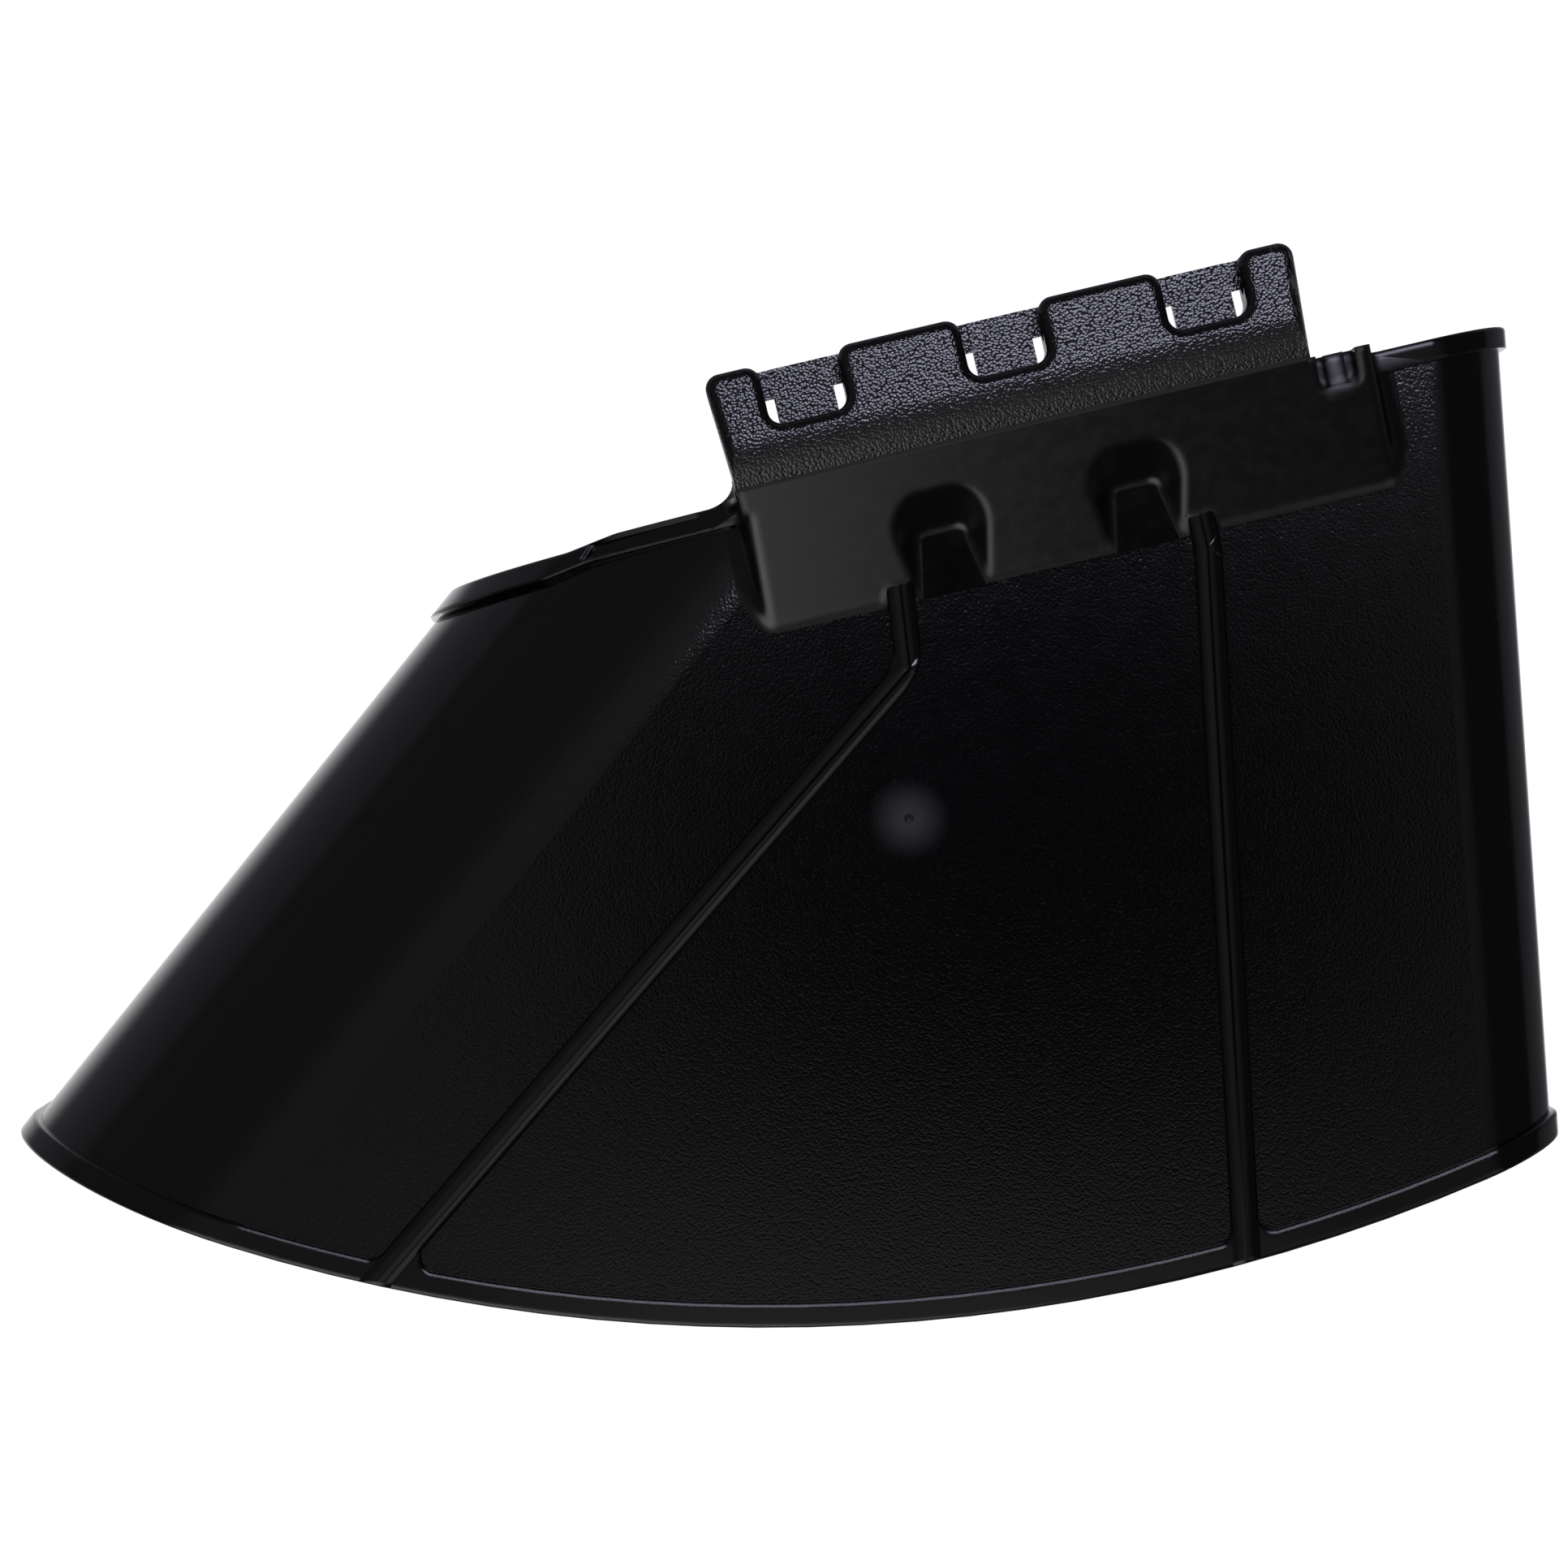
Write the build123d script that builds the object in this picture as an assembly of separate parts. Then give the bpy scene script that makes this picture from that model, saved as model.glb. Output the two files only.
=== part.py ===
"""Discharge deflector of a mower deck: one moulded hood with a hinge plate, all sizes in millimetres.

The origin is the middle of the hinge rod. X runs along the rod, Y towards the deck, Z up from the ground.
"""

import math
import os

from build123d import *

# Walls and raised edges
wall = 3.2
bead_height = 2.6
bead_rounding = 1.3
panel_corner_radius = 5.0

# Hinge rod, and the plate that caps it
rod_diameter = 8.0
rod_clearance = 0.25
plate_length = 203.6
plate_reach = 32.1
plate_overhang = 2.0
plate_end_lean = 2.0
plate_edge_radius = 4.0
plate_corner_radius = 5.0
skirt_below_rod = 3.25

# Notches in the plate, each with a tongue under the rod
notch_count = 3
end_land = 19.1
notch_width = 27.0
notch_depth = 21.0
notch_corner_radius = 4.6
tongue_width = 20.6
tongue_setback = 1.6
slit_length = 9.5
web_drop = 0.9

# Riser between the plate and the hood
riser_edge = 30.3
riser_slope = 25.9
riser_left = 97.0
riser_right = 119.5
riser_end_draft = 6.0
riser_corner_radius = 3.0
riser_foot_radius = 8.0
ridge_radius = 34.0

# Pockets in the riser
pocket_spacing = 68.0
pocket_back = 34.4
pocket_back_width = 16.5
pocket_mouth_width = 24.5
pocket_draft = 38.5
pocket_corner_radius = 4.0
pocket_floor_radius = 3.0

# Spring clip at the right end of the riser
clip_inset = 11.7
clip_width = 13.6
clip_depth = 11.0
clip_sink = 14.0
clip_corner_radius = 3.0
clip_tongue_width = 6.8
clip_tongue_drop = 1.0

# Hood: a flat panel below the hinge, between two side walls with rounded shoulders
panel_drop = 19.0
hinge_height = 136.0
wall_draft = 2.0
left_shoulder = 85.0
right_shoulder = 28.0

# Side walls in plan, at mid height: a point near the deck, and the swing away from the Y axis
wall_level = -90.0
left_wall_x = -207.2
left_wall_y = -37.8
left_wall_angle = 51.9
right_wall_x = 172.7
right_wall_y = -39.0
right_wall_angle = 9.4

# Outlet edge in plan, and its bead
outlet_radius = 624.0
outlet_x = -12.0
outlet_reach = 325.8
outlet_bead = 8.6

# Deck-side edge in plan, and its rim
deck_edge = 32.0
rim_width = 7.4
jog_start = -143.0
jog_run = 18.0
jog_step = 2.2
jog_skew = 11.0
jog_radius = 14.0

# Recess in the rim, beside the riser
recess_start = -113.5
recess_length = 38.0
recess_margin = 1.1
recess_depth = 1.8

# Fillet web between the rim and the end of the hinge plate
web_length = 11.0
web_reach = 6.5
web_sink = 6.5
web_height = 16.0

# Ribs from the riser to the outlet
rib_width = 9.6
rib_start = 68.5
left_rib_x = -51.5
left_rib_bend_x = -55.2
left_rib_bend = 101.0
left_rib_angle = 54.2
left_rib_bend_radius = 20.0
right_rib_x = 53.7
right_rib_bend = 84.0
right_rib_angle = 10.1
right_rib_bend_radius = 60.0

# Gate mark
gate_x = -67.0
gate_y = -151.0
gate_radius = 1.7
gate_depth = 0.8

# Levels and lengths that follow
bore_radius = rod_diameter / 2 + rod_clearance
plate_top = bore_radius + rod_clearance + wall
plate_front = plate_top + plate_overhang
tongue_top = -bore_radius - rod_clearance
skirt_bottom = -bore_radius - skirt_below_rod
ridge_y = plate_front - plate_reach
panel_level = -panel_drop
ground = -hinge_height
spare = 70.0
far = 800.0
same_place = 0.01


def heading(angle):
    """Unit step in plan towards the outlet, swung by an angle from -Y towards -X."""
    return Vector(-math.sin(math.radians(angle)), -math.cos(math.radians(angle)))


def inside_wall(x, y, angle, hand, grow):
    """Everything inside one drafted side wall, which is moved outwards by grow."""
    run = heading(angle)
    outwards = Vector(-run.Y, run.X) * hand
    lean = math.tan(math.radians(wall_draft))
    base = ground - spare
    foot = (grow + (wall_level - base) * lean, base)
    head = (grow + wall_level * lean, 0)
    section = make_face(Polyline((-far, base), foot, head, (-far, 0), close=True))
    place = Plane((x, y, 0), x_dir=outwards, z_dir=outwards.cross(Vector(0, 0, 1)))
    return extrude(place * section, far, both=True)


def hood(grow):
    """Solid inside the hood's outer face, with every face moved outwards by grow."""
    left = inside_wall(left_wall_x, left_wall_y, left_wall_angle, -1, grow)
    right = inside_wall(right_wall_x, right_wall_y, right_wall_angle, 1, grow)
    under_panel = Box(2 * far, 2 * far, hinge_height, align=(Align.CENTER, Align.MAX, Align.MAX))
    solid = Pos(0, spare, panel_level + grow) * under_panel & left & right
    shoulders = (
        (left_wall_x, left_wall_y, left_shoulder),
        (right_wall_x, right_wall_y, right_shoulder),
    )
    for x, y, radius in shoulders:
        seams = solid.faces().sort_by(Axis.Z)[-1].edges()
        solid = fillet(seams.sort_by_distance((x, y, panel_level))[0], radius + grow)
    return solid


def deck_line(shift, skew):
    """Deck-side edge in plan, moved towards the outlet by shift, with its jog moved to the left by skew."""
    near = -deck_edge - shift
    return FilletPolyline(
        (far, near),
        (jog_start - skew, near),
        (jog_start - skew - jog_run, near - jog_step),
        (-far, near - jog_step),
        radius=jog_radius,
    )


def outlet_disc(shrink):
    """Round plate whose lower edge is the outlet, moved inwards by shrink."""
    return Pos(outlet_x, outlet_radius - outlet_reach) * Circle(outlet_radius - shrink)


def below(line):
    """Plan area on the outlet's side of a deck line."""
    start = line @ 0
    end = line @ 1
    return make_face(line + Polyline(end, (end.X, -far), (start.X, -far), start))


def bent_line(start, bend, angle, radius):
    """Line in plan from a start to a bend, and on towards the outlet, with the bend rounded."""
    first = (bend - start).normalized()
    second = heading(angle)
    turn = math.acos(first.dot(second))
    cut = radius * math.tan(turn / 2)
    arc_start = bend - first * cut
    arc_end = bend + second * cut
    arc = TangentArc(arc_start, arc_end, tangent=first)
    return Line(start, arc_start) + arc + Line(arc_end, bend + second * outlet_reach)


def rib_paths():
    """Middle lines of the two ribs in plan."""
    left_start = Vector(left_rib_x, -rib_start)
    left_bend = Vector(left_rib_bend_x, -left_rib_bend)
    left = bent_line(left_start, left_bend, left_rib_angle, left_rib_bend_radius)
    right_start = Vector(right_rib_x, -rib_start)
    right_bend = Vector(right_rib_x, -right_rib_bend)
    right = bent_line(right_start, right_bend, right_rib_angle, right_rib_bend_radius)
    return left, right


def network_plan(trim):
    """Plan of the outlet bead and the ribs that run into it, with the panel corners rounded."""
    disc = outlet_disc(0)
    ribs = Sketch() + [trace(path, rib_width) for path in rib_paths()]
    plan = (trim - outlet_disc(outlet_bead)) + (ribs & disc)
    centre = disc.center()
    inner_radius = outlet_radius - outlet_bead
    corners = [
        corner
        for corner in plan.vertices()
        if abs(corner.X) < outlet_reach and abs((Vector(*corner) - centre).length - inner_radius) < same_place
    ]
    return fillet(corners, panel_corner_radius)


def raised(plan, proud, limit):
    """Stands a plan area up to the proud surface as a band, with its edges rounded beyond a limit in Y."""
    band = extrude(Pos(0, 0, ground) * plan, hinge_height) & proud
    upright = [face for face in band.faces() if abs(face.normal_at().Z) < 0.001]
    outside = [face for face in band.faces() if face.normal_at().Z > 0.001]
    rims = [edge for edge in shared_edges(outside, upright) if edge.center().Y > limit]
    return fillet(rims, bead_rounding)


def notch_places():
    """Middles of the notches along the hinge."""
    first = -plate_length / 2 + end_land + notch_width / 2
    pitch = -2 * first / (notch_count - 1)
    return [first + pitch * index for index in range(notch_count)]


def cap_plan():
    """Hinge plate in plan, with its notches, reaching back under the riser."""
    half = plate_length / 2
    back = ridge_y - plate_reach / 2
    lean = plate_end_lean * (plate_front - back) / plate_reach
    plan = make_face(
        Polyline(
            (-half, plate_front),
            (-half + lean, back),
            (half - lean, back),
            (half, plate_front),
            close=True,
        )
    )
    for place in notch_places():
        plan -= Pos(place, plate_front) * Rectangle(notch_width, 2 * notch_depth)
    front = [corner for corner in plan.vertices() if math.isclose(corner.Y, plate_front)]
    plan = fillet(front, plate_corner_radius)
    floor = [corner for corner in plan.vertices() if math.isclose(corner.Y, plate_front - notch_depth)]
    return fillet(floor, notch_corner_radius)


def under_roof(grow):
    """Everything under the plate and the riser's sloping face, moved outwards by grow."""
    top = plate_top + grow
    fall = math.tan(math.radians(riser_slope))
    turn = ridge_y - grow * math.tan(math.radians(riser_slope / 2))
    profile = make_face(
        Polyline(
            (plate_front + spare, ground),
            (plate_front + spare, top),
            (turn, top),
            (turn - (top - ground) / fall, ground),
            close=True,
        )
    )
    ridge = profile.vertices().sort_by_distance((turn, top))[0]
    profile = fillet(ridge, ridge_radius + grow)
    return extrude(Plane.YZ * profile, far, both=True)


def riser(grow):
    """Block behind the riser's face, with drafted ends, open towards the deck."""
    spread = (plate_top - ground) * math.tan(math.radians(riser_end_draft))
    section = make_face(
        Polyline(
            (-riser_left, plate_top),
            (riser_right, plate_top),
            (riser_right + spread, ground),
            (-riser_left - spread, ground),
            close=True,
        )
    )
    section = offset(section, grow, kind=Kind.INTERSECTION)
    return extrude(Plane.XZ.offset(riser_edge) * section, deck_edge + spare)


def shared_edges(faces, others):
    """Edges where one group of faces meets another."""
    borders = {edge for face in others for edge in face.edges()}
    return [edge for face in faces for edge in face.edges() if edge in borders]


def riser_shell():
    """Outside of the riser, with its two long corners rounded."""
    block = riser(0) & under_roof(0)
    ends = [face for face in block.faces() if abs(face.normal_at().X) > 0.5]
    roof = [face for face in block.faces() if face.normal_at().Z > 0.5]
    return fillet(shared_edges(roof, ends), riser_corner_radius)


def cap_shell():
    """Outside of the hinge plate with its skirt, rounded along every free edge."""
    block = extrude(Pos(0, 0, skirt_bottom) * cap_plan(), plate_top - skirt_bottom)
    back, *free = block.faces().sort_by(Axis.Z)[-1].edges().sort_by(Axis.Y)
    return fillet(free, plate_edge_radius) & under_roof(0)


def pockets(grow):
    """Two drafted pockets that open the riser's face towards the panel, moved outwards by grow."""
    fall = math.tan(math.radians(riser_slope))
    back = ridge_y - pocket_back
    mouth = ridge_y - (plate_top - panel_level) / fall
    flare = (pocket_mouth_width - pocket_back_width) / 2 / (back - mouth)
    front = mouth - spare / 2
    front_half = pocket_back_width / 2 + flare * (back - front)
    back_half = pocket_back_width / 2
    plan = make_face(
        Polyline((-back_half, back), (back_half, back), (front_half, front), (-front_half, front), close=True)
    )
    plan = fillet(plan.vertices().group_by(Axis.Y)[-1], pocket_corner_radius)
    plan = offset(plan, grow / math.cos(math.radians(pocket_draft)), kind=Kind.ARC)
    hole = extrude(Pos(0, 0, panel_level) * plan, plate_top + wall - panel_level, taper=-pocket_draft)
    if grow:
        hole += extrude(Pos(0, 0, panel_level) * plan, -grow)
    else:
        front_edge, *floor_edges = hole.edges().group_by(Axis.Z)[0].sort_by(Axis.Y)
        hole = fillet(floor_edges, pocket_floor_radius)
    return [Pos(side * pocket_spacing / 2, 0, 0) * hole for side in (-1, 1)]


def riser_hollow():
    """Inside of the hinge plate and riser, which keeps a wall round each pocket."""
    cap_inside = offset(cap_plan(), -wall, kind=Kind.ARC)
    inside = extrude(Pos(0, 0, ground) * cap_inside, hinge_height + plate_top) + riser(-wall)
    return (inside & under_roof(-wall)) - pockets(wall) - clip_slot(wall)


def tongues():
    """Tongue under the rod in each notch, with side webs near the plate's front edge."""
    depth = notch_depth + wall / 2 - tongue_setback
    middle = plate_front - tongue_setback - depth / 2
    thick = tongue_top - skirt_bottom
    tongue = Pos(0, middle, tongue_top - thick / 2) * Box(tongue_width, depth, thick)
    web_depth = notch_depth - tongue_setback - slit_length
    web_middle = plate_front - tongue_setback - web_depth / 2
    web_thick = thick - web_drop
    web = Pos(0, web_middle, skirt_bottom + web_thick / 2) * Box(notch_width + wall, web_depth, web_thick)
    return [Pos(place, 0, 0) * (tongue + web) for place in notch_places()]


def rim_recess(proud):
    """Shallow recess in the deck rim, beside the riser."""
    low = -deck_edge - rim_width + recess_margin
    high = -deck_edge - recess_margin
    end = recess_start - recess_length
    plan = make_face(
        Polyline(
            (recess_start, low),
            (recess_start, high),
            (end, high),
            (end - jog_skew / 2, low),
            close=True,
        )
    )
    return extrude(Pos(0, 0, ground) * plan, hinge_height) - proud


def end_web():
    """Concave web that joins the deck rim to the left end of the hinge plate."""
    left = -plate_length / 2 + plate_end_lean - web_length
    wide = web_length + wall / 2
    low = -deck_edge - rim_width / 2
    plan = Pos(left, low) * Rectangle(wide, web_reach + rim_width / 2, align=Align.MIN)
    plan -= Pos(left, -deck_edge + web_reach) * Ellipse(web_length, web_reach)
    top = panel_level + bead_height - web_sink + web_height
    rise = Pos(left, ground) * Rectangle(wide, top - ground, align=Align.MIN)
    rise -= Pos(left, top) * Ellipse(web_length, web_height)
    return extrude(Pos(0, 0, ground) * plan, 2 * hinge_height) & extrude(Plane.XZ * rise, far, both=True)


def clip_slot(grow):
    """Round-cornered well in the riser's edge for the spring, moved outwards by grow."""
    plan = Pos(riser_right - clip_inset, -riser_edge) * Rectangle(clip_width, 2 * clip_depth)
    plan = fillet(plan.vertices().group_by(Axis.Y)[0], clip_corner_radius)
    plan = offset(plan, grow, kind=Kind.ARC)
    return extrude(Pos(0, 0, plate_top - clip_sink - grow) * plan, clip_sink + wall + grow)


def clip_tongue():
    """Flat tongue in the spring's slot."""
    fall = math.tan(math.radians(riser_slope))
    top = plate_top - (ridge_y + riser_edge + clip_depth) * fall - clip_tongue_drop
    length = clip_depth + wall
    place = Pos(riser_right - clip_inset, -riser_edge - length / 2, top - wall / 2)
    return place * Box(clip_tongue_width, length, wall)


def gate_mark():
    """Ring-shaped dimple where the plastic entered the mould."""
    ring = Cylinder(gate_radius, 2 * gate_depth) - Cylinder(gate_radius / 2, 2 * gate_depth)
    return Pos(gate_x, gate_y, panel_level) * ring


def deflector():
    """The whole moulding."""
    outer = hood(0)
    proud = hood(bead_height)
    edge = below(deck_line(0, 0))
    trim = edge & outlet_disc(0)
    rim_plan = (edge - below(deck_line(rim_width, jog_skew))) & outlet_disc(0)

    # Skin and riser, blended at the riser's foot
    body = (extrude(Pos(0, 0, ground) * trim, hinge_height) & outer) + riser_shell()
    panel = body.faces().sort_by_distance((0, -outlet_reach / 2, panel_level))[0]
    steep = [face for face in body.faces() if face.bounding_box().max.Z > panel_level + wall]
    body = fillet(shared_edges([panel], steep), riser_foot_radius)
    body -= pockets(0)

    # What stands on the skin
    body += cap_shell()
    body += raised(network_plan(trim), proud, -far)
    body += raised(rim_plan, proud, -deck_edge - (rim_width + jog_step) / 2)
    body += end_web()

    # The hollow underside
    body -= hood(-wall)
    body -= riser_hollow()

    # Hinge and clip details
    body -= clip_slot(0)
    body += clip_tongue()
    body += tongues()
    body -= Rot(0, 90, 0) * Cylinder(bore_radius, plate_length + spare)

    # Marks on the outer face
    body -= rim_recess(hood(bead_height - recess_depth))
    body -= gate_mark()
    return body


os.makedirs("parts", exist_ok=True)
export_step(deflector(), "parts/discharge_deflector.step")
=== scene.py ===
"""Mower discharge deflector on a pale floor, seen from above."""

import math

import bpy
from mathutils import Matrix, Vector

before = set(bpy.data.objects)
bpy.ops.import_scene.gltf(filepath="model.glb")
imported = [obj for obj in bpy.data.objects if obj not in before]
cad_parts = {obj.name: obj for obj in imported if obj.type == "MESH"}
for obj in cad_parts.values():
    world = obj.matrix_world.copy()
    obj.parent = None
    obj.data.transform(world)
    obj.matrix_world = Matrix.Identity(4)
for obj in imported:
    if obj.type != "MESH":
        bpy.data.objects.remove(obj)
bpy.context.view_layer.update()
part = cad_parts["discharge_deflector"]

MM = 0.001

# Sizes of the solid that the finishes follow, in millimetres
PANEL_LEVEL = -19.0
GROUND = -136.0
PLATE_BACK = -29.4
PLATE_HALF = 104.0
SKIRT_BOTTOM = -7.5
RISER_LEFT = -108.0
RISER_RIGHT = 130.0
RISER_FOOT_Y = -79.4
POCKETS = (-34.0, 34.0)
POCKET_HALF = 13.0
POCKET_BACK = -56.0
DECK_EDGE = 32.0
RIM_WIDTH = 7.4
JOG_X = -163.0
JOG_STEP = 2.2
OUTLET_X = -12.0
OUTLET_RADIUS = 624.0
OUTLET_REACH = 325.8
OUTLET_BEAD = 8.6
GATE = (-67.0, -151.0)
GATE_RADIUS = 2.2

# Each rib's start and bend in plan, and the angle of its lower run in degrees
LEFT_RIB = ((-51.5, -68.5), (-55.2, -101.0), 54.2)
RIGHT_RIB = ((53.7, -68.5), (53.7, -84.0), 10.1)
RIB_WIDTH = 9.6
RIB_CROWN = 1.1

# Each side wall's corner in plan, its swing in degrees, and the width of its shoulder
LEFT_WALL = ((-207.2, -37.8), 51.9, 92.0)
RIGHT_WALL = ((172.7, -39.0), 9.4, 34.0)

# Sign of the side that a wall faces
LEFTWARDS = 1
RIGHTWARDS = -1

# Limits in millimetres that tell the finishes apart at a face's middle
EDGE_SLACK = 0.2
SKIRT_SLACK = 1.0
RISER_STEP = 0.05
RIB_STEP = 0.1
BEAD_STEP = 0.25
RIB_TOP = 3.2
RIB_RUN_UP = 12.0

# Limits of a face normal's upward share
FACES_UP = 0.5
FACES_DOWN = -0.02

# Marks in the finishes, in millimetres
BLUSH_CORE = 1.0
BLUSH_REACH = 17.0
BLUSH_WANDER = 3.0
SEAM_START = -31.2
SEAM_END = -30.4
SCUFF_START = 90.0
SCUFF_END = 100.0

# Strength and stretch of the marks
SEAM_ROUGHNESS = 0.5
SCUFF_SHARE = 0.5
STREAK_STRETCH = (1.0, 0.25, 1.0)
WAVE_SHARE = 0.005


# Which finish a face has

def to_segment(point, start, end):
    """Distance in plan from a point to a straight run."""
    run = end - start
    share = max(0.0, min(1.0, (point - start).dot(run) / run.length_squared))
    return (point - start - run * share).length


def to_rib(point, rib):
    """Distance in plan from a point to a rib's middle line."""
    start = Vector(rib[0])
    bend = Vector(rib[1])
    angle = math.radians(rib[2])
    end = bend + Vector((-math.sin(angle), -math.cos(angle))) * OUTLET_REACH
    return min(to_segment(point, start, bend), to_segment(point, bend, end))


def wall_outwards(wall, side):
    """Direction in plan that a side wall faces."""
    angle = math.radians(wall[1])
    return Vector((-math.cos(angle), math.sin(angle))) * side


def inside_wall(point, wall, side):
    """True where a point in plan is clear of a side wall's rounded shoulder."""
    return (point - Vector(wall[0])).dot(wall_outwards(wall, side)) < -wall[2]


def finish_of(centre, normal):
    """Name of the finish at a face's middle, in millimetres."""
    x, y, z = centre
    plan = Vector((x, y))
    step = z - PANEL_LEVEL
    if y > PLATE_BACK and z > SKIRT_BOTTOM - SKIRT_SLACK and abs(x) < PLATE_HALF:
        return "plate"
    on_riser = RISER_LEFT < x < RISER_RIGHT and y > RISER_FOOT_Y
    near_rib = min(to_rib(plan, LEFT_RIB), to_rib(plan, RIGHT_RIB)) < RIB_WIDTH / 2 + EDGE_SLACK
    if on_riser and step > RISER_STEP and not (near_rib and step < RIB_TOP):
        return "riser"
    in_pocket = min(abs(x - middle) for middle in POCKETS) < POCKET_HALF
    if in_pocket and RISER_FOOT_Y < y < POCKET_BACK and normal.z > FACES_UP:
        return "smooth"
    if (plan - Vector(GATE)).length < GATE_RADIUS:
        return "smooth"
    if normal.z < FACES_DOWN:
        return "panel"
    from_outlet = (plan - Vector((OUTLET_X, OUTLET_RADIUS - OUTLET_REACH))).length
    if from_outlet > OUTLET_RADIUS - OUTLET_BEAD - EDGE_SLACK:
        return "smooth"
    rim_inner = -DECK_EDGE - RIM_WIDTH - (JOG_STEP if x < JOG_X else 0.0)
    if y > rim_inner - EDGE_SLACK and not on_riser:
        return "smooth"
    if near_rib and y < RISER_FOOT_Y + RIB_RUN_UP and step > RIB_STEP:
        return "smooth"
    on_crown = inside_wall(plan, LEFT_WALL, LEFTWARDS) and inside_wall(plan, RIGHT_WALL, RIGHTWARDS)
    if on_crown and step > BEAD_STEP:
        return "smooth"
    return "panel"


# Shader helpers

NOISE_DETAIL = 3.0
NOISE_ROUGHNESS = 0.55
NOISE_LOW = 0.3
NOISE_HIGH = 0.7
BEVEL_SAMPLES = 6

# Places of the Mix node's colour sockets
MIX_SHARE = 0
MIX_FIRST = 6
MIX_SECOND = 7
MIX_RESULT = 2


def new_material(name):
    """A material with a Principled shader, and its node tree."""
    material = bpy.data.materials.new(name)
    material.use_nodes = True
    return material, material.node_tree


def feed(tree, socket, value):
    """Links another node's output to a socket, or sets the socket's own value."""
    if isinstance(value, bpy.types.NodeSocket):
        tree.links.new(value, socket)
    else:
        socket.default_value = value


def node(tree, kind, inputs=None, **settings):
    """Adds a node, sets its options, and sets or links its inputs."""
    made = tree.nodes.new(kind)
    for key, value in settings.items():
        setattr(made, key, value)
    for key, value in (inputs or {}).items():
        feed(tree, made.inputs[key], value)
    return made


def position(tree):
    """Place on the object in metres."""
    return node(tree, "ShaderNodeTexCoord").outputs["Object"]


def math_node(tree, operation, *values):
    """One arithmetic step."""
    return node(tree, "ShaderNodeMath", dict(enumerate(values)), operation=operation).outputs[0]


def vector_node(tree, operation, first, second, output="Vector"):
    """One vector step."""
    made = node(tree, "ShaderNodeVectorMath", {0: first, 1: second}, operation=operation)
    return made.outputs[output]


def ramp(tree, value, low, high, start=0.0, end=1.0):
    """Smooth step of a value from one limit to another."""
    made = node(
        tree,
        "ShaderNodeMapRange",
        {"Value": value, "From Min": low, "From Max": high, "To Min": start, "To Max": end},
        interpolation_type="SMOOTHSTEP",
    )
    return made.outputs["Result"]


def noise(tree, place, size):
    """Noise whose features are about size millimetres wide."""
    made = node(
        tree,
        "ShaderNodeTexNoise",
        {"Vector": place, "Scale": 1 / (size * MM), "Detail": NOISE_DETAIL, "Roughness": NOISE_ROUGHNESS},
    )
    return made.outputs["Fac"]


def mottled(tree, place, size, low, high):
    """A level that drifts between two limits over about size millimetres."""
    return ramp(tree, noise(tree, place, size), NOISE_LOW, NOISE_HIGH, low, high)


def cells(tree, place, size):
    """Pebbled grain whose cells are about size millimetres wide."""
    made = node(tree, "ShaderNodeTexVoronoi", {"Vector": place, "Scale": 1 / (size * MM)}, feature="F1")
    away = made.outputs["Distance"]
    return math_node(tree, "SUBTRACT", 1.0, math_node(tree, "MULTIPLY", away, away))


def mix_colour(tree, share, first, second):
    """Blends two colours."""
    made = node(tree, "ShaderNodeMix", data_type="RGBA")
    for index, value in ((MIX_SHARE, share), (MIX_FIRST, first), (MIX_SECOND, second)):
        feed(tree, made.inputs[index], value)
    return made.outputs[MIX_RESULT]


def grey(level, blue=1.0):
    """A neutral colour, or one with more blue."""
    return (level, level, level * blue, 1.0)


def in_plan(point):
    """A point given in millimetres in plan, in metres at height 0."""
    return (point[0] * MM, point[1] * MM, 0.0)


def from_point(tree, place, point):
    """Distance in plan from a point, in metres."""
    flat = vector_node(tree, "MULTIPLY", place, (1, 1, 0))
    return vector_node(tree, "DISTANCE", flat, in_plan(point), output="Value")


def beyond(tree, place, point, outwards):
    """Distance in plan past a line through a point, in metres."""
    away = vector_node(tree, "SUBTRACT", place, in_plan(point))
    return vector_node(tree, "DOT_PRODUCT", away, (outwards[0], outwards[1], 0), output="Value")


def rib_crown(tree, place):
    """Rounded crown across both ribs, falling from 0 on the middle line to -1 at the rib's sides."""
    half = RIB_WIDTH / 2 * MM
    nearest = half
    for start, bend, angle in (LEFT_RIB, RIGHT_RIB):
        upper = math.atan2(start[0] - bend[0], start[1] - bend[1])
        for heading, onward in ((upper, -1), (math.radians(angle), 1)):
            aside = beyond(tree, place, bend, (math.cos(heading), -math.sin(heading)))
            astray = beyond(tree, place, bend, (0.0, onward))
            away = math_node(tree, "MAXIMUM", math_node(tree, "ABSOLUTE", aside), astray)
            nearest = math_node(tree, "MINIMUM", nearest, away)
    share = math_node(tree, "DIVIDE", nearest, half)
    return math_node(tree, "MULTIPLY", math_node(tree, "MULTIPLY", share, share), -1.0)


def shade(material, tree, colour, roughness, height, bump, depth, rounding=0.0):
    """Feeds a finish to the material's shader, with relief and edge rounding in millimetres."""
    shader = tree.nodes["Principled BSDF"]
    feed(tree, shader.inputs["Base Color"], colour)
    feed(tree, shader.inputs["Roughness"], roughness)
    relief = node(tree, "ShaderNodeBump", {"Strength": bump, "Distance": depth * MM, "Height": height})
    if rounding:
        rounded = node(tree, "ShaderNodeBevel", {"Radius": rounding * MM}, samples=BEVEL_SAMPLES)
        feed(tree, relief.inputs["Normal"], rounded.outputs["Normal"])
    feed(tree, shader.inputs["Normal"], relief.outputs["Normal"])
    return material


# The four finishes

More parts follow.
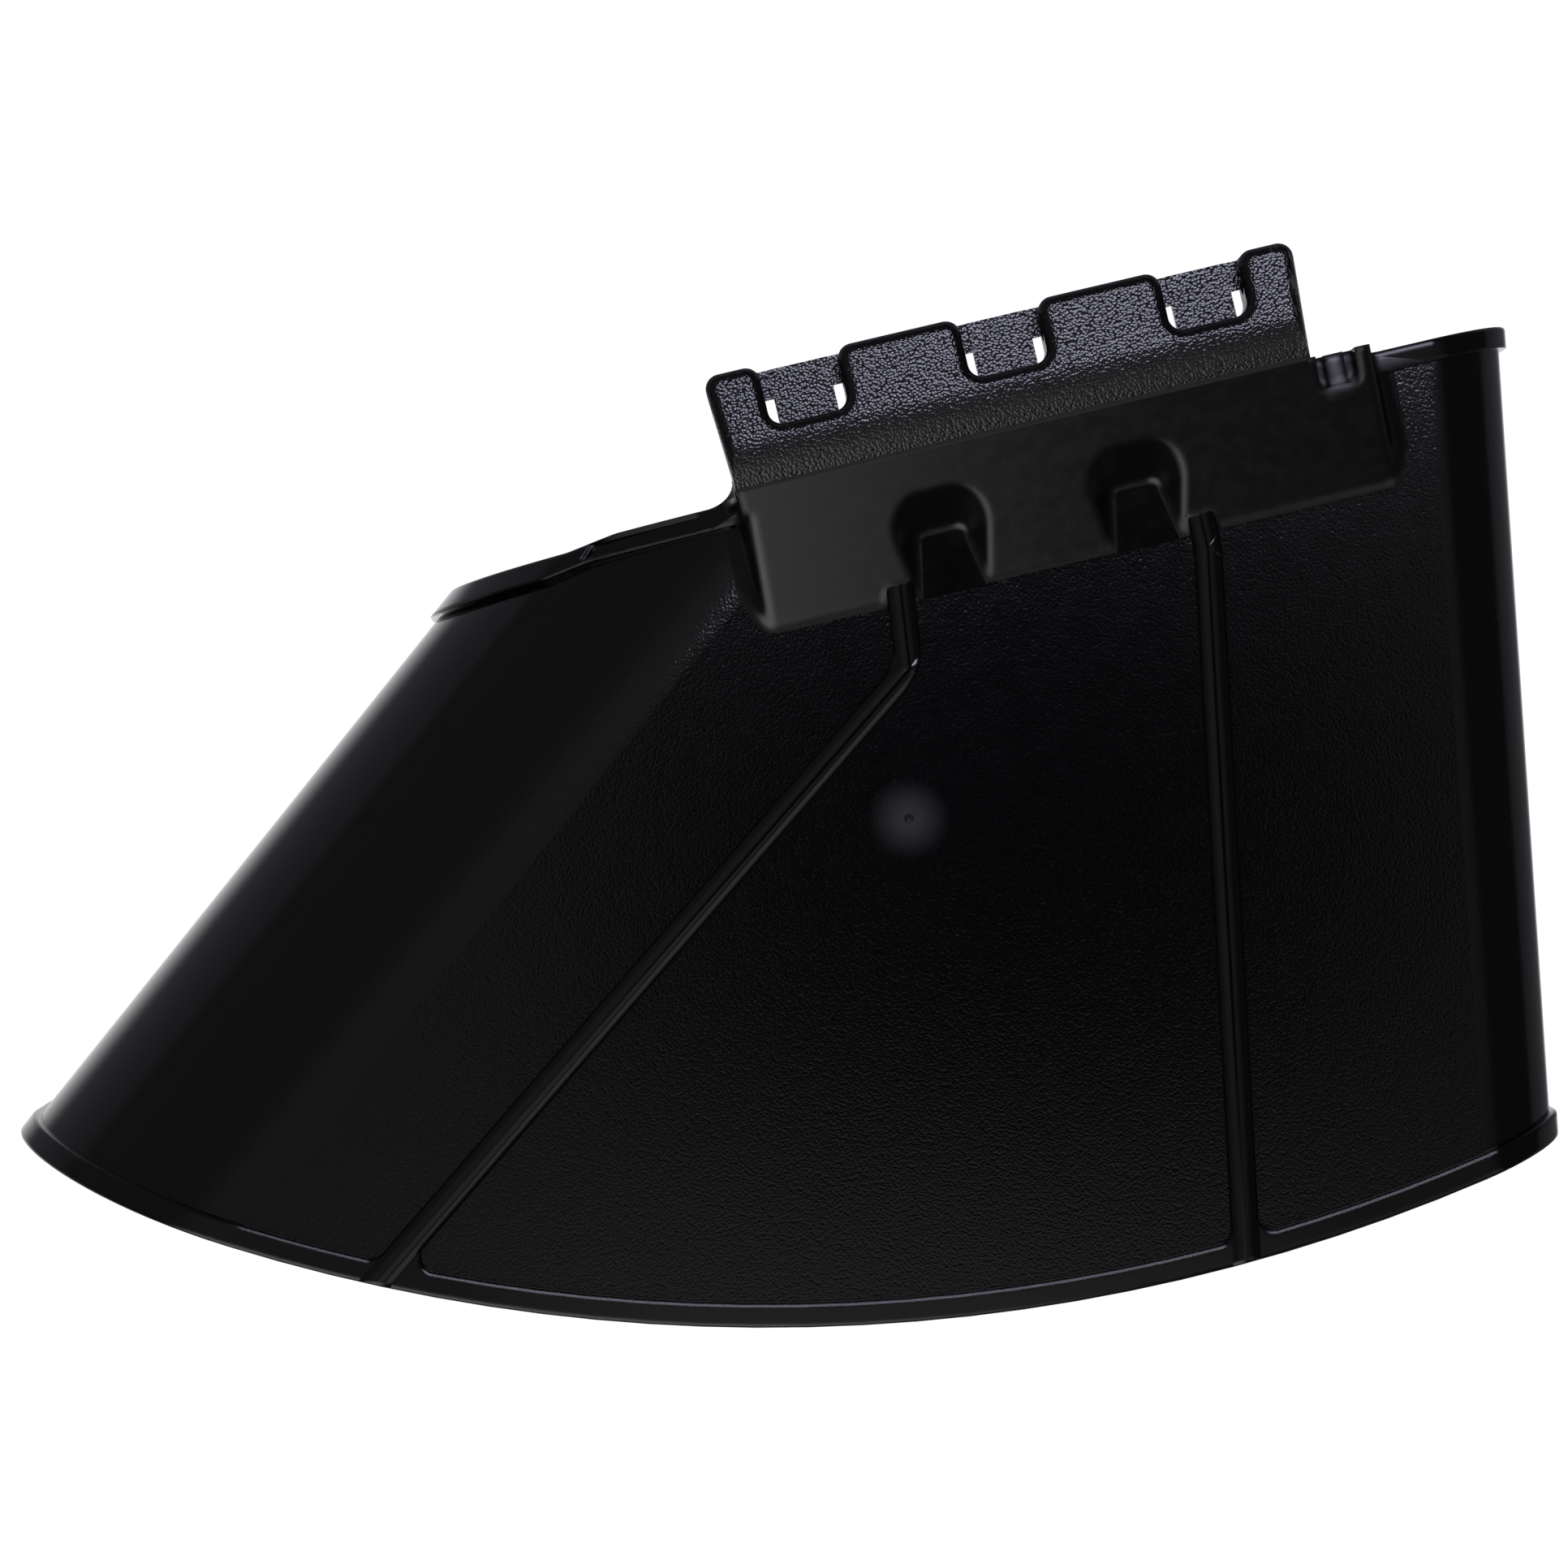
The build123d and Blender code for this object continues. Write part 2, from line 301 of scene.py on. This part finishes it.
def panel_finish():
    """Fine moulded grain with a pale blush round the gate mark."""
    material, tree = new_material("grained_panel")
    place = position(tree)
    cloud = noise(tree, place, size=40.0)
    wander = math_node(tree, "MULTIPLY", cloud, BLUSH_WANDER * MM)
    blush_edge = math_node(tree, "ADD", from_point(tree, place, GATE), wander)
    blush = ramp(tree, blush_edge, BLUSH_CORE * MM, BLUSH_REACH * MM, start=1.0, end=0.0)
    plain = mix_colour(tree, cloud, grey(0.0014, blue=1.2), grey(0.002, blue=1.3))
    colour = mix_colour(tree, blush, plain, grey(0.045, blue=1.05))
    roughness = mottled(tree, place, size=9.0, low=0.085, high=0.1)
    grain = cells(tree, place, size=0.9)
    return shade(material, tree, colour, roughness, grain, bump=0.5, depth=0.05)


def smooth_finish():
    """Glossy ribs, rim and outlet bead."""
    material, tree = new_material("smooth_edge")
    place = position(tree)
    colour = mix_colour(tree, noise(tree, place, size=12.0), grey(0.0012), grey(0.002))
    roughness = mottled(tree, place, size=7.0, low=0.05, high=0.08)
    waves = math_node(tree, "MULTIPLY", noise(tree, place, size=4.0), WAVE_SHARE)
    height = math_node(tree, "ADD", rib_crown(tree, place), waves)
    return shade(material, tree, colour, roughness, height, bump=1.0, depth=RIB_CROWN, rounding=1.8)


def riser_finish():
    """Satin riser, a little cloudy, with a dark line where the plate's grain ends."""
    material, tree = new_material("satin_riser")
    place = position(tree)
    along = node(tree, "ShaderNodeSeparateXYZ", {0: place}).outputs["Y"]
    seam = ramp(tree, along, SEAM_START * MM, SEAM_END * MM)
    cloudy = mix_colour(tree, noise(tree, place, size=14.0), grey(0.002), grey(0.0035))
    colour = mix_colour(tree, seam, cloudy, grey(0.0005))
    satin = mottled(tree, place, size=5.0, low=0.15, high=0.19)
    roughness = math_node(tree, "ADD", satin, math_node(tree, "MULTIPLY", seam, SEAM_ROUGHNESS))
    grain = noise(tree, place, size=0.7)
    return shade(material, tree, colour, roughness, grain, bump=0.2, depth=0.03, rounding=4.0)


def plate_finish():
    """Coarse grain on the hinge plate, scuffed at its right end."""
    material, tree = new_material("pebbled_plate")
    place = position(tree)
    across = node(tree, "ShaderNodeSeparateXYZ", {0: place}).outputs["X"]
    streaks = node(tree, "ShaderNodeMapping", {"Vector": place, "Scale": STREAK_STRETCH}).outputs[0]
    worn = ramp(tree, noise(tree, streaks, size=1.5), low=0.52, high=0.62)
    right_end = ramp(tree, across, SCUFF_START * MM, SCUFF_END * MM)
    scuff = math_node(tree, "MULTIPLY", math_node(tree, "MULTIPLY", worn, right_end), SCUFF_SHARE)
    plain = mix_colour(tree, noise(tree, place, size=6.0), grey(0.002, blue=1.3), grey(0.004, blue=1.3))
    colour = mix_colour(tree, scuff, plain, grey(0.12, blue=1.05))
    roughness = mottled(tree, place, size=2.0, low=0.12, high=0.17)
    grain = cells(tree, place, size=1.05)
    return shade(material, tree, colour, roughness, grain, bump=0.6, depth=0.26)


def dress_part():
    """Gives each face of the part its finish."""
    finishes = {
        "panel": panel_finish(),
        "smooth": smooth_finish(),
        "riser": riser_finish(),
        "plate": plate_finish(),
    }
    order = list(finishes)
    part.data.materials.clear()
    for material in finishes.values():
        part.data.materials.append(material)
    for polygon in part.data.polygons:
        centre = polygon.center / MM
        polygon.material_index = order.index(finish_of(centre, polygon.normal))


# Floor, world, lamp and camera, in metres unless a line says otherwise

FLOOR_REACH = 30.0
FLOOR_GAP = 0.0002
FLOOR_GREY = 0.3
FLOOR_GLOW = 0.95

# Painted glow on the floor near the part, which only reflections see: its level, and its fading edge in
# millimetres past the part
REFLECTED_GLOW_LEVEL = 0.8
REFLECTED_GLOW_FADE_START = 15.0
REFLECTED_GLOW_FADE_END = 75.0

# Sides of that painted glow: a point in plan in millimetres, and the direction outwards
REFLECTED_GLOW_SIDES = (
    (LEFT_WALL[0], wall_outwards(LEFT_WALL, LEFTWARDS)),
    (RIGHT_WALL[0], wall_outwards(RIGHT_WALL, RIGHTWARDS)),
    ((0.0, -DECK_EDGE), (0.0, 1.0)),
    ((0.0, -OUTLET_REACH), (0.0, -1.0)),
)

# Ceiling: half angles in degrees of its edge and its middle, and the level at each
CEILING_EDGE = 32.0
CEILING_MIDDLE = 12.0
CEILING_EDGE_LEVEL = 0.045
CEILING_MIDDLE_LEVEL = 0.15

# Dark patch overhead: slopes of its direction, half angles in degrees, and the share of light left in it
PATCH_TILT = (0.05, -0.025)
PATCH_EDGE = 8.0
PATCH_MIDDLE = 3.5
PATCH_SHARE = 0.05

# Soft glows in the room: slopes of the direction, outer and inner half angle in degrees, and level
GLOWS = (
    (-0.63, -0.97, 30.0, 16.0, 1.9),
    (-0.02, -0.26, 10.5, 7.0, 0.22),
    (0.4, -0.58, 15.0, 8.0, 0.55),
    (-0.9, 0.9, 60.0, 20.0, 0.06),
)

LAMP_PLACE = (0.3, 0.49, 1.9)
LAMP_TARGET = (0.3, 0.49, 0.0)
LAMP_SIZE = (0.9, 0.6)
LAMP_RADIANCE = 9.8
LAMP_COLOUR = (0.76, 0.76, 1.0)

# Camera: place, roll in degrees, and lens and sensor width in millimetres
CAMERA_PLACE = (-0.106, -0.12965, 1.370)
CAMERA_ROLL = -13.2
CAMERA_LENS = 93.17
CAMERA_SENSOR = 36.0


def seen_directly(tree, path):
    """1 for camera rays and rays through glass, and 0 for the rest."""
    return math_node(tree, "MAXIMUM", path["Is Camera Ray"], path["Is Transmission Ray"])


def floor_material():
    """White to the camera, grey to the lamp so that shadows show, and a painted glow near the part that
    only reflections see.
    """
    material, tree = new_material("pale_floor")
    tree.nodes.remove(tree.nodes["Principled BSDF"])
    path = node(tree, "ShaderNodeLightPath").outputs
    place = position(tree)
    # Painted reflection: the floor glows for reflected rays only, fading out past the part's sides
    reflected_glow = math_node(tree, "MULTIPLY", path["Is Glossy Ray"], REFLECTED_GLOW_LEVEL)
    for point, outwards in REFLECTED_GLOW_SIDES:
        past = beyond(tree, place, point, outwards)
        fade = ramp(tree, past, REFLECTED_GLOW_FADE_START * MM, REFLECTED_GLOW_FADE_END * MM, start=1.0, end=0.0)
        reflected_glow = math_node(tree, "MULTIPLY", reflected_glow, fade)
    shown = math_node(tree, "ADD", seen_directly(tree, path), reflected_glow)
    strength = math_node(tree, "MULTIPLY", shown, FLOOR_GLOW)
    paint = node(tree, "ShaderNodeBsdfDiffuse", {"Color": grey(FLOOR_GREY)})
    glow = node(tree, "ShaderNodeEmission", {"Color": grey(1.0), "Strength": strength})
    both = node(tree, "ShaderNodeAddShader", {0: paint.outputs[0], 1: glow.outputs[0]})
    feed(tree, tree.nodes["Material Output"].inputs["Surface"], both.outputs[0])
    return material


def make_floor():
    """A pale floor just under the part."""
    mesh = bpy.data.meshes.new("floor")
    level = GROUND * MM - FLOOR_GAP
    reach = FLOOR_REACH
    corners = [(-reach, -reach), (reach, -reach), (reach, reach), (-reach, reach)]
    mesh.from_pydata([(x, y, level) for x, y in corners], [], [(0, 1, 2, 3)])
    mesh.materials.append(floor_material())
    floor = bpy.data.objects.new("floor", mesh)
    bpy.context.scene.collection.objects.link(floor)


def facing(tree, way, tilt_x, tilt_y):
    """Cosine between a direction and the zenith tilted by two slopes."""
    axis = Vector((tilt_x, tilt_y, 1.0)).normalized()
    return vector_node(tree, "DOT_PRODUCT", way, axis, output="Value")


def cosine(degrees):
    """Cosine of an angle in degrees."""
    return math.cos(math.radians(degrees))


def make_world():
    """A dim room with a dark patch overhead and soft glows round it, which is white to the camera."""
    world = bpy.data.worlds.new("studio")
    world.use_nodes = True
    tree = world.node_tree
    way = node(tree, "ShaderNodeTexCoord").outputs["Generated"]
    ceiling = ramp(
        tree,
        facing(tree, way, 0.0, 0.0),
        cosine(CEILING_EDGE),
        cosine(CEILING_MIDDLE),
        CEILING_EDGE_LEVEL,
        CEILING_MIDDLE_LEVEL,
    )
    patch = ramp(
        tree,
        facing(tree, way, *PATCH_TILT),
        cosine(PATCH_EDGE),
        cosine(PATCH_MIDDLE),
        1.0,
        PATCH_SHARE,
    )
    strength = math_node(tree, "MULTIPLY", ceiling, patch)
    for tilt_x, tilt_y, outer, inner, level in GLOWS:
        glow = ramp(tree, facing(tree, way, tilt_x, tilt_y), cosine(outer), cosine(inner), 0.0, level)
        strength = math_node(tree, "ADD", strength, glow)
    path = node(tree, "ShaderNodeLightPath").outputs
    strength = math_node(tree, "MAXIMUM", strength, seen_directly(tree, path))
    background = tree.nodes["Background"]
    feed(tree, background.inputs["Color"], grey(1.0))
    feed(tree, background.inputs["Strength"], strength)
    bpy.context.scene.world = world


def make_lamp():
    """A softbox above the deck side, facing straight down."""
    width, depth = LAMP_SIZE
    lamp = bpy.data.lights.new("overhead", "AREA")
    lamp.shape = "RECTANGLE"
    lamp.size = width
    lamp.size_y = depth
    lamp.energy = LAMP_RADIANCE * math.pi * width * depth
    lamp.color = LAMP_COLOUR
    holder = bpy.data.objects.new("overhead", lamp)
    holder.location = LAMP_PLACE
    holder.rotation_euler = (Vector(LAMP_TARGET) - Vector(LAMP_PLACE)).to_track_quat("-Z", "Y").to_euler()
    bpy.context.scene.collection.objects.link(holder)


def make_camera():
    """A camera straight above, turned as in the photograph."""
    camera = bpy.data.cameras.new("camera")
    camera.lens = CAMERA_LENS
    camera.sensor_width = CAMERA_SENSOR
    holder = bpy.data.objects.new("camera", camera)
    holder.location = CAMERA_PLACE
    holder.rotation_euler = (0.0, 0.0, math.radians(CAMERA_ROLL))
    bpy.context.scene.collection.objects.link(holder)
    bpy.context.scene.camera = holder


dress_part()
make_floor()
make_world()
make_lamp()
make_camera()
bpy.context.scene.view_settings.view_transform = "Standard"
